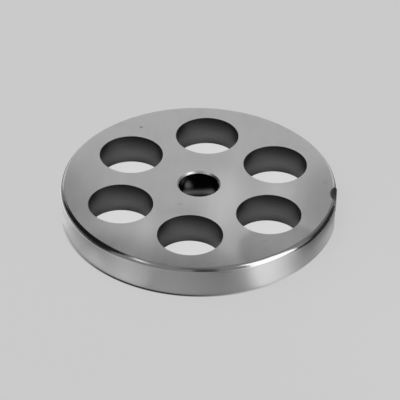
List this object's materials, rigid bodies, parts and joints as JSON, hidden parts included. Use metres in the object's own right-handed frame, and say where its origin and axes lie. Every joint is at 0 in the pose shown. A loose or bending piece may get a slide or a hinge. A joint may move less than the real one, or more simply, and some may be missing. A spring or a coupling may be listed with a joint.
{
  "type": "meat grinder plate",
  "caption": "Flat round steel plate of a meat grinder, with a centre bore, a ring of large round holes for the meat, a rounded knife-side rim and a locating notch in the rim.",
  "frame": {"origin": "on the bore axis, at the underside of the plate", "axes": "+Z along the bore axis, from the underside to the knife face; +X through the locating notch"},
  "size_m": [0.0818, 0.082, 0.0096],
  "materials": {
    "ground_steel": "ground and satin polished"
  },
  "bodies": {
    "root": {"plate": "ground_steel"}
  },
  "joints": []
}
